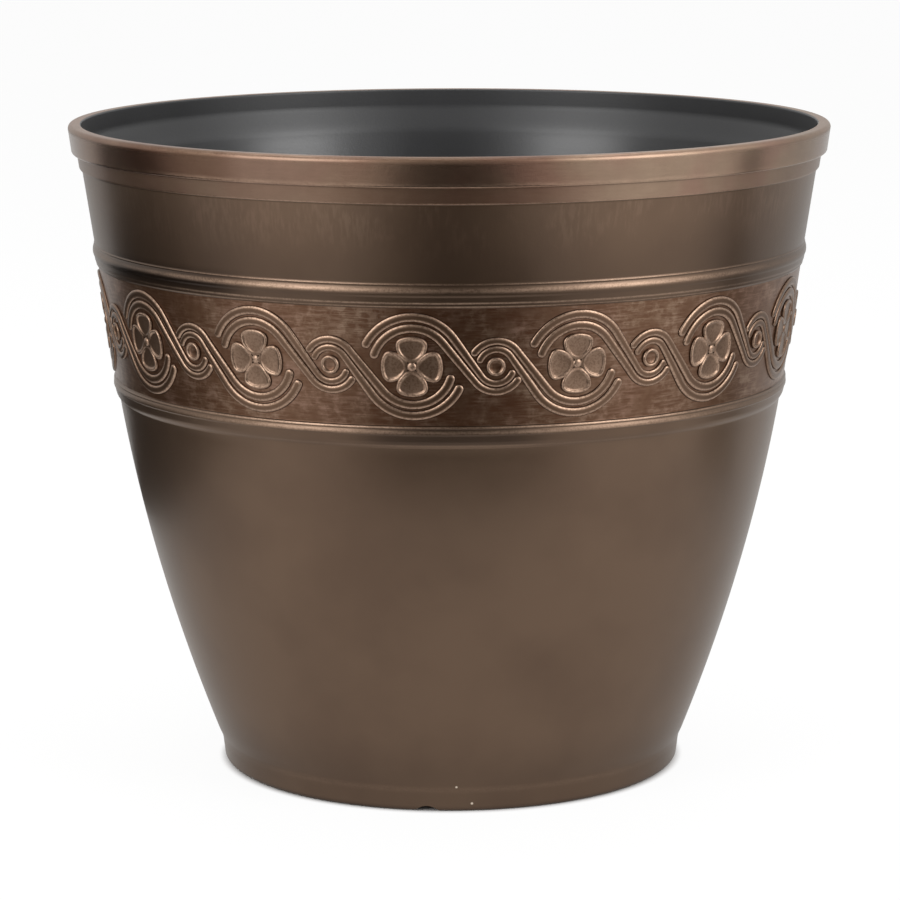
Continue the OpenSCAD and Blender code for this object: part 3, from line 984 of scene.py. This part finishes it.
# %% Floor
UNDER_POT, BESIDE_POT = 116.5 * MM, 123 * MM
floor_mesh = bmesh.new()
bmesh.ops.create_grid(floor_mesh, x_segments=1, y_segments=1, size=40.0)
floor = to_object(floor_mesh, "floor")
white, stage = new_finish("white_floor")
rays = stage.node("LightPath", output="Is Camera Ray")
glossy = stage.node("LightPath", output="Is Glossy Ray")
spot = stage.node("TexCoord", output="Object")
from_axis = stage.node("VectorMath", {0: spot}, output="Value", operation="LENGTH")
shown = (rays * 0.9 + glossy * 0.68) * from_axis.step(UNDER_POT, BESIDE_POT)
lit = stage.node("BsdfDiffuse", {"Color": (0.86, 0.86, 0.86, 1)})
glow = stage.node("Emission", {"Color": (1, 1, 1, 1), "Strength": 1.035})
stage.node("OutputMaterial", {"Surface": stage.node("MixShader", {0: shown, 1: lit, 2: glow})})
floor.data.materials.append(white)
white.cycles.emission_sampling = "NONE"
print("The floor's shader has", len(white.node_tree.nodes), "nodes")

# %% [markdown]
# ## Dark cards
# Metal shows what is around it, so the room matters as much as the lamps. A photographer holds black
# cards round a shiny object to give it soft dark bands, and so does this studio: three cards lie in
# front and at the sides, one stands behind the camera and one hangs above it. Only reflections see them.

# %% Dark cards that only reflections see
CAMERA_AZIMUTH = math.radians(5.79)
CARDS_TURN = CAMERA_AZIMUTH + math.radians(1)
black, stage = new_finish("black_card")
stage.node("OutputMaterial", {"Surface": stage.node("BsdfDiffuse", {"Color": (0.02, 0.02, 0.02, 1)})})


def dark_card(name, azimuth, near, far, width, height):
    """A lying black card, from near to far metres away from the axis, at an angle from the front."""
    card_mesh = bmesh.new()
    bmesh.ops.create_grid(card_mesh, x_segments=1, y_segments=1, size=0.5)
    bmesh.ops.scale(card_mesh, verts=card_mesh.verts, vec=(width, far - near, 1))
    bmesh.ops.translate(card_mesh, verts=card_mesh.verts, vec=(0, -(near + far) / 2, height))
    around = Matrix.Rotation(azimuth, 3, "Z")
    bmesh.ops.rotate(card_mesh, verts=card_mesh.verts, cent=(0, 0, 0), matrix=around)
    card = to_object(card_mesh, name)
    card.data.materials.append(black)
    card.visible_camera = card.visible_diffuse = card.visible_shadow = False
    return card


dark_card("card_front", CARDS_TURN, 0.42, 3.4, 0.61, 0.004)
dark_card("card_left", CAMERA_AZIMUTH - math.radians(109), 0.44, 3.4, 0.96, 0.004)
dark_card("card_right", CAMERA_AZIMUTH + math.radians(97), 0.5, 3.0, 0.2, 0.006)
for name, tilt, where in (("card_behind_camera", 90, (0, -3.0, 1.6)), ("card_overhead", 0, (0, -1.9, 3.2))):
    card = dark_card(name, 0, -1.5, 1.5, 2.0, 0)
    tilted = Matrix.Translation(where) @ Matrix.Rotation(math.radians(tilt), 4, "X")
    card.matrix_world = Matrix.Rotation(CARDS_TURN, 4, "Z") @ tilted

# %% [markdown]
# ## Lamps and room
# Three large softboxes light the pot evenly: one from each side of the camera and one from above and
# behind. The room itself is white to the camera and in reflections, but its own light on the pot is
# weaker, so that the softboxes still shape it.

# %% Lamps and room
def softbox(name, azimuth, distance, height, width, tall, power):
    """A large rectangular lamp that faces the middle of the pot, at an angle from the camera."""
    lamp = bpy.data.lights.new(name, "AREA")
    lamp.shape, lamp.size, lamp.size_y, lamp.energy = "RECTANGLE", width, tall, power
    made = bpy.data.objects.new(name, lamp)
    bpy.context.scene.collection.objects.link(made)
    a = CAMERA_AZIMUTH + math.radians(azimuth)
    made.location = (distance * math.sin(a), -distance * math.cos(a), height)
    made.rotation_euler = (Vector((0, 0, 0.2)) - made.location).to_track_quat("-Z", "Y").to_euler()


softbox("softbox_left", -46, 2.2, 0.95, 1.2, 1.7, 28)
softbox("softbox_right", 56, 2.2, 0.95, 1.2, 1.7, 32)
softbox("softbox_top", 180, 0.5, 2.4, 1.8, 1.8, 24)

world = bpy.data.worlds.new("room")
bpy.context.scene.world = world
world.use_nodes = True
world.node_tree.nodes.clear()
world.cycles.sampling_method = "NONE"
air = Signal(world.node_tree)
seen = sum(air.node("LightPath", output=f"Is {kind} Ray") for kind in ("Camera", "Glossy", "Transmission"))
backdrop = air.node("Background", {"Color": (1, 1, 1, 1), "Strength": 0.45 + seen * 0.55})
air.node("OutputWorld", {"Surface": backdrop})

# %% [markdown]
# ## The camera
# The photograph looks slightly down on the pot through a long lens. The lens, the distance and the tilt
# come from the ellipses that the rings make in it.

# %% Camera
CAMERA_AWAY, CAMERA_HIGH = 1.8706, 0.5053
PITCH, ROLL = math.radians(10.418), math.radians(0.142)
lens = bpy.data.cameras.new("camera")
lens.lens, lens.sensor_width = 145.71, 36.0
camera = bpy.data.objects.new("camera", lens)
bpy.context.scene.collection.objects.link(camera)
bpy.context.scene.camera = camera
level = Vector((-math.sin(CAMERA_AZIMUTH), math.cos(CAMERA_AZIMUTH), 0))
right = Vector((math.cos(CAMERA_AZIMUTH), math.sin(CAMERA_AZIMUTH), 0))
forward = level * math.cos(PITCH) - Vector((0, 0, math.sin(PITCH)))
up = right.cross(forward)
tilted_right = right * math.cos(ROLL) - up * math.sin(ROLL)
tilted_up = up * math.cos(ROLL) + right * math.sin(ROLL)
stand = Matrix.Translation(Vector((0, 0, CAMERA_HIGH)) - level * CAMERA_AWAY)
camera.matrix_world = stand @ Matrix((tilted_right, tilted_up, -forward)).transposed().to_4x4()
print("The camera stands", round(CAMERA_AWAY, 2), "m away")

# %% [markdown]
# ## The last step
# The scene's view is set to show colours as they are.

# %% Finish
bpy.context.scene.view_settings.view_transform = "Standard"
